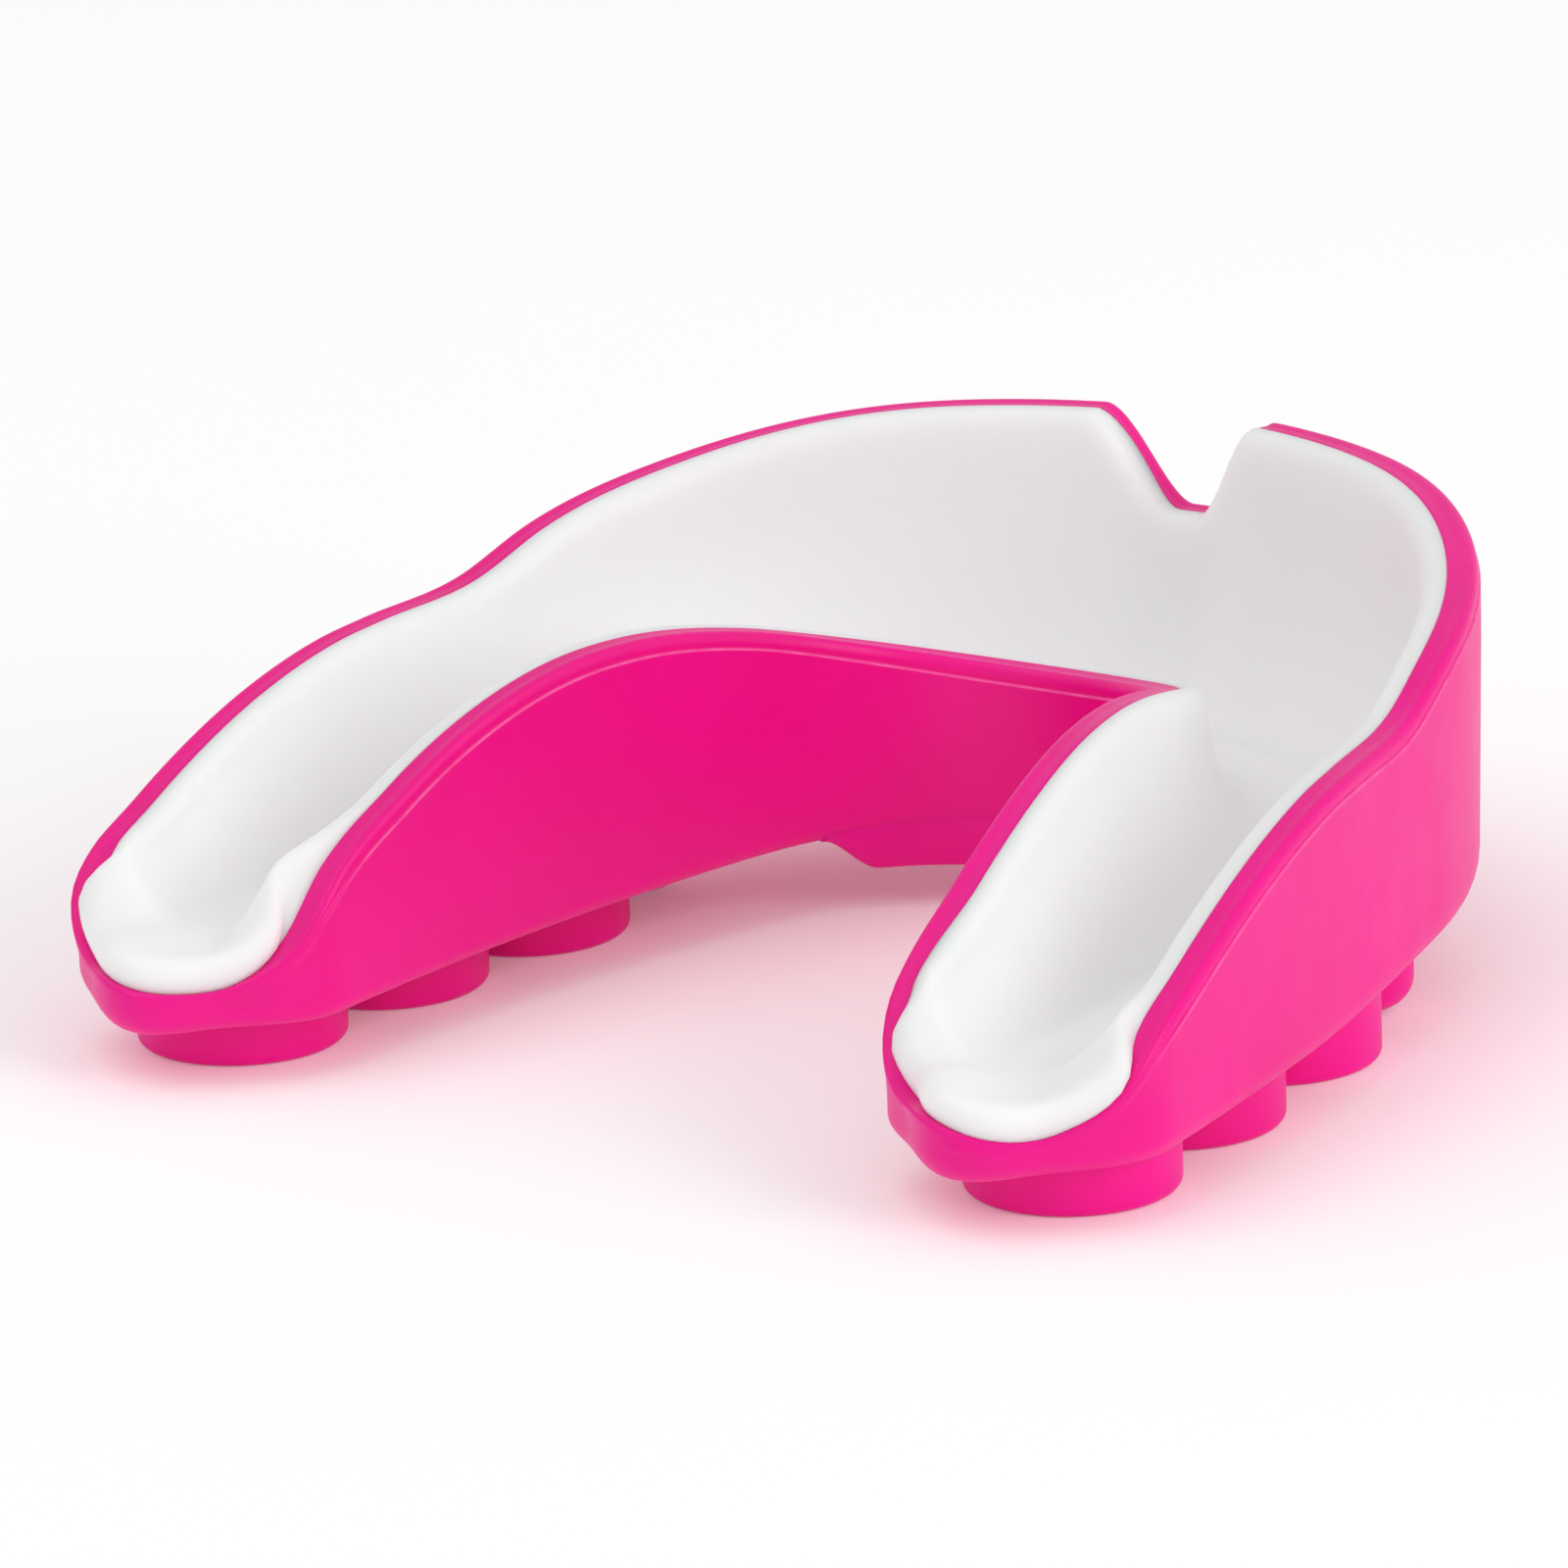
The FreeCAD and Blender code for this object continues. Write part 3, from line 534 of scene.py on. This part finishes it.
def land_swell(loop):
    """How much wider than usual the shell's land is, next to the gel."""
    start, peak, stop = LAND_SPAN
    rise = loop.between(start, peak) * (1 - loop.between(peak, stop))
    by_tongue = np.where(loop.x < 0, *LAND_SWELL) * rise * (1 - loop.outerness)
    return by_tongue + loop.lobes(LAND_LOBES)


def gel_rings(loop):
    """Rings of the gel from its underside, up the shell's wall, over the lip and down into the bowl."""
    rim = rim_height(loop)
    rings = [flat_ring(loop, mix(CORE_INSET, WALL - SINK, t), trough_floor, -SINK) for t in GEL_BASE_SHARES]
    insets, heights = section_controls(loop, rim, LIP_SECTION, END_LIP_SECTION, loop.spill)
    edge_height = rings[-1][1]
    for t in GEL_SIDE_SHARES:
        rings.append((np.full_like(rim, WALL - SINK), mix(edge_height, heights[0], t)))
    swell = land_swell(loop)
    flank = notch_flank(loop)
    thinner = NOTCH_LAND * 4 * flank * (1 - flank)
    fades = np.linspace(1, 0, len(insets) - 2)
    insets = insets[:2] + [inset + swell - thinner * fade for inset, fade in zip(insets[2:], fades)]
    bowl = gel_bowl(loop, insets[-1], heights[-1])
    return rings + section_rings(*(a + b for a, b in zip((insets, heights), bowl)))


def gel_bowl(loop, lip_inset, lip_height):
    """Control rings from the lip's last one down to the gel's floor, steeper at the front."""
    insets, heights = [], []
    floor = flat_ring(loop, GEL_CORE_INSET, gel_floor)[1]
    start, stop, most = SOFT_FLOOR
    soft = np.maximum(loop.end, most * loop.between(start, stop))
    for i in range(1, GEL_STEPS + 1):
        t = i / GEL_STEPS
        angle = t * math.pi / 2
        round_inset = mix(GEL_CORE_INSET, lip_inset, math.cos(angle))
        round_height = mix(lip_height, floor, math.sin(angle))
        soft_inset = mix(lip_inset, GEL_CORE_INSET, t)
        soft_height = mix(lip_height, floor, ease(t))
        insets.append(mix(round_inset, soft_inset, soft))
        heights.append(mix(round_height, soft_height, soft))
    return insets, heights


# ---------------------------------------------------------------- bite pads

def quarter_round(radius, steps):
    """(inset, height) round the edge of a flat foot, from the foot to the upright side."""
    turns = np.linspace(0, math.pi / 2, steps + 1)
    return [(radius * (1 - math.sin(turn)), radius * (1 - math.cos(turn))) for turn in turns]


def round_a_centre(centre, reach):
    """Points of a circle round a pad's centre."""
    turns = np.linspace(0, 2 * math.pi, PAD_TURNS, endpoint=False)
    return centre[0] + reach * np.cos(turns), centre[1] + reach * np.sin(turns)


def pad_mesh(name, surface):
    """A turned pad: flat foot, rounded edge, straight side and a small fillet into the shell."""
    low, high = node_box(name)
    centre, radius = (low + high) / 2, (high[0] - low[0]) / 2
    foot_round = CANINE_FOOT_ROUND if radius < SMALLEST_ROUND_PAD else FOOT_ROUND
    up = Vector((0, 0, 1))
    shell = np.array([surface.ray_cast(Vector((x, y, RAY_START)), up)[0].z
                      for x, y in zip(*round_a_centre(centre, radius))])
    section = [(share * (radius - foot_round), low[2]) for share in FOOT_SHARES]
    for inset, height in quarter_round(foot_round, PAD_ROUND_STEPS)[1:]:
        section.append((radius - inset, low[2] + height))
    for share in SIDE_SHARES:
        section.append((radius, mix(low[2] + foot_round, shell - PAD_FILLET, share)))
    for drop, spread in quarter_round(PAD_FILLET, FILLET_STEPS)[1:]:
        section.append((radius + spread, shell - drop + PAD_OVERLAP))
    section.append((radius, shell + PAD_SINK))
    bm = bmesh.new()
    rings = []
    for reach, height in section:
        x, y = round_a_centre(centre, reach)
        rings.append([bm.verts.new(p) for p in zip(x, y, np.broadcast_to(height, x.shape))])
    join_rings(bm, rings)
    bm.faces.new(rings[0][::-1])
    bm.faces.new(rings[-1])
    return bm


def front_pad_section(sweep):
    """(reach from the arc's centre, height) round the front pad's section, at a sweep from the middle."""
    ramp = ease((abs(sweep) - FRONT_PAD_FLAT) / (FRONT_PAD_SWEEP - FRONT_PAD_FLAT))
    foot = FRONT_PAD_LOW[2] + FRONT_PAD_RISE * ramp
    shell = underside(ARC_CENTRE_Y - LINGUAL_RADIUS * math.cos(sweep))
    side, top = (shell + sink for sink in FRONT_PAD_SINK)
    inner, outer = LINGUAL_RADIUS, ARC_CENTRE_Y - FRONT_PAD_LOW[1]
    edge = quarter_round(FOOT_ROUND, FILLET_STEPS)
    points = [(inner + FRONT_PAD_LEAN, top), (inner, side)]
    points += [(inner + inset, foot + height) for inset, height in edge[::-1]]
    for i in range(1, FRONT_PAD_ACROSS):
        points.append((mix(inner + FOOT_ROUND, outer - FOOT_ROUND, i / FRONT_PAD_ACROSS), foot))
    points += [(outer - inset, foot + height) for inset, height in edge]
    return points + [(outer, side), (outer, top)]


def front_pad_mesh():
    """A wide pad flush with the tongue side, whose ends ramp up into the shell."""
    bm = bmesh.new()
    rows = []
    for sweep in np.linspace(-FRONT_PAD_SWEEP, FRONT_PAD_SWEEP, FRONT_PAD_ALONG + 1):
        row = []
        for reach, height in front_pad_section(sweep):
            x, y = reach * math.sin(sweep), ARC_CENTRE_Y - reach * math.cos(sweep)
            row.append(bm.verts.new((x, y, height)))
        rows.append(row)
    join_rings(bm, rows)
    bm.faces.new(rows[0])
    bm.faces.new(rows[-1][::-1])
    return bm


# ---------------------------------------------------------------- materials

def node_material(name, look):
    """A Principled material with some plain settings."""
    material = bpy.data.materials.new(name)
    material.use_nodes = True
    nodes = material.node_tree.nodes
    shader = nodes["Principled BSDF"]
    for setting, value in look.items():
        shader.inputs[setting].default_value = value
    return material, nodes, material.node_tree.links, shader


def noise_node(nodes, links, coords, scale, detail=NOISE_DETAIL[0]):
    """Noise laid out in the piece's own coordinates."""
    noise = nodes.new("ShaderNodeTexNoise")
    noise.inputs["Scale"].default_value = scale
    noise.inputs["Detail"].default_value = detail
    links.new(coords.outputs["Object"], noise.inputs["Vector"])
    return noise


def pigment_node(nodes, links, noise, colours):
    """Turns noise into one of two colours, or shades between."""
    ramp = nodes.new("ShaderNodeValToRGB")
    for element, place, colour in zip(ramp.color_ramp.elements, CLOUD_SPAN, colours):
        element.position = place
        element.color = (*colour, 1.0)
    links.new(noise.outputs["Fac"], ramp.inputs["Fac"])
    return ramp


def range_node(nodes, links, noise, low, high):
    """Turns noise into a value between two others."""
    reach = nodes.new("ShaderNodeMapRange")
    reach.inputs["To Min"].default_value = low
    reach.inputs["To Max"].default_value = high
    links.new(noise.outputs["Fac"], reach.inputs["Value"])
    return reach


def bump_node(nodes, links, noise, strength, distance, below=None):
    """A bump from noise, laid over another one where it's given."""
    bump = nodes.new("ShaderNodeBump")
    bump.inputs["Strength"].default_value = strength
    bump.inputs["Distance"].default_value = distance
    links.new(noise.outputs["Fac"], bump.inputs["Height"])
    if below:
        links.new(below.outputs["Normal"], bump.inputs["Normal"])
    return bump


def paint_highlight_where(nodes, links, attribute, coords, colour, highlight_colour):
    """Mixes a pale highlight colour in where the mesh says so, broken up by noise: a painted highlight."""
    place = nodes.new("ShaderNodeAttribute")
    place.attribute_name = attribute
    ragged = noise_node(nodes, links, coords, PAINTED_HIGHLIGHT_NOISE)
    share = range_node(nodes, links, ragged, 0.0, PAINTED_HIGHLIGHT_STRENGTH)
    amount = nodes.new("ShaderNodeMath")
    amount.operation = "MULTIPLY"
    links.new(place.outputs["Fac"], amount.inputs[0])
    links.new(share.outputs["Result"], amount.inputs[1])
    blend = nodes.new("ShaderNodeMixRGB")
    blend.inputs["Color2"].default_value = (*highlight_colour, 1.0)
    links.new(amount.outputs["Value"], blend.inputs["Fac"])
    links.new(colour.outputs["Color"], blend.inputs["Color1"])
    return blend


def moulded(name, colours, gloss, noises, bumps, look, painted_highlight=False):
    """Satin moulded plastic: cloudy pigment, patchy gloss, fine grain and faint flow waves."""
    material, nodes, links, shader = node_material(name, look)
    coords = nodes.new("ShaderNodeTexCoord")
    cloud, patch, grain, flow = (noise_node(nodes, links, coords, scale, detail)
                                 for scale, detail in zip(noises, NOISE_DETAIL))
    colour = pigment_node(nodes, links, cloud, colours)
    # painted highlight along the edge of the step under the rim
    if painted_highlight:
        colour = paint_highlight_where(nodes, links, PAINTED_HIGHLIGHT_MARK, coords, colour, PAINTED_HIGHLIGHT_PINK)
    links.new(colour.outputs["Color"], shader.inputs["Base Color"])
    roughness = range_node(nodes, links, patch, *gloss)
    links.new(roughness.outputs["Result"], shader.inputs["Roughness"])
    fine = bump_node(nodes, links, grain, bumps[0], BUMP_DEPTH[0])
    wavy = bump_node(nodes, links, flow, bumps[1], BUMP_DEPTH[1], fine)
    links.new(wavy.outputs["Normal"], shader.inputs["Normal"])
    return material


def floor_material():
    material, nodes, links, shader = node_material("pale_floor", FLOOR_LOOK)
    coords = nodes.new("ShaderNodeTexCoord")
    cloud = noise_node(nodes, links, coords, FLOOR_NOISE)
    colour = pigment_node(nodes, links, cloud, FLOOR_GREYS)
    links.new(colour.outputs["Color"], shader.inputs["Base Color"])
    return material


# ---------------------------------------------------------------- studio

def make_floor():
    bm = bmesh.new()
    bmesh.ops.create_grid(bm, x_segments=4, y_segments=4, size=FLOOR_HALF_WIDTH)
    mesh = bpy.data.meshes.new("studio_floor")
    bm.to_mesh(mesh)
    bm.free()
    mesh.materials.append(floor_material())
    floor = bpy.data.objects.new("studio_floor", mesh)
    bpy.context.scene.collection.objects.link(floor)


def area_light(name, azimuth, elevation, distance, width, power):
    """A square soft box that looks at the object from a direction."""
    light = bpy.data.lights.new(name, "AREA")
    light.size = width
    light.energy = power
    lamp = bpy.data.objects.new(name, light)
    bpy.context.scene.collection.objects.link(lamp)
    direction = towards(azimuth, elevation)
    lamp.location = direction * distance
    lamp.rotation_euler = direction.to_track_quat("Z", "Y").to_euler()


def make_world():
    world = bpy.data.worlds.new("studio")
    world.use_nodes = True
    sky = world.node_tree.nodes["Background"]
    sky.inputs["Color"].default_value = (1.0, 1.0, 1.0, 1.0)
    sky.inputs["Strength"].default_value = WORLD_STRENGTH
    bpy.context.scene.world = world


def make_camera():
    """The photographed viewpoint: from behind the open end, a little to the wearer's right."""
    back = towards(*CAMERA_AIM)
    level = Vector((0, 0, 1)).cross(back).normalized()
    upright = back.cross(level)
    roll = math.radians(CAMERA_ROLL)
    right = level * math.cos(roll) + upright * math.sin(roll)
    up = upright * math.cos(roll) - level * math.sin(roll)
    data = bpy.data.cameras.new("studio_camera")
    data.lens = LENS
    data.sensor_width = SENSOR
    data.clip_start = NEAREST
    camera = bpy.data.objects.new("studio_camera", data)
    place = Matrix.Translation(CAMERA_TARGET + back * CAMERA_DISTANCE)
    camera.matrix_world = place @ Matrix((right, up, back)).transposed().to_4x4()
    bpy.context.scene.collection.objects.link(camera)
    bpy.context.scene.camera = camera


# ---------------------------------------------------------------- build

def build():
    loop = Loop()
    shell_pink = moulded("pink_rubber", SHELL_PINKS, SHELL_GLOSS, RUBBER_NOISE, RUBBER_BUMP, RUBBER, True)
    pad_pink = moulded("pink_rubber_pads", PAD_PINKS, PAD_GLOSS, RUBBER_NOISE, RUBBER_BUMP, RUBBER)
    white_gel = moulded("milky_gel", GEL_WHITES, GEL_GLOSS, GEL_NOISE, GEL_BUMP, GEL)
    shell = band_mesh(loop, shell_rings(loop), painted_highlight=True)
    surface = BVHTree.FromBMesh(shell)
    new_piece("shell_body", shell, shell_pink, ["outer_shell"])
    new_piece("gel_insert", band_mesh(loop, gel_rings(loop)), white_gel, ["gel_liner"])
    for name in sorted(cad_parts):
        if name.startswith("bite_pad_"):
            new_piece(name + "_foot", pad_mesh(name, surface), pad_pink, [name])
    new_piece("front_pad_foot", front_pad_mesh(), pad_pink, ["front_bite_pad"])


build()
make_floor()
make_world()
make_camera()
for settings in LIGHTS:
    area_light(*settings)
bpy.context.scene.view_settings.view_transform = "Standard"
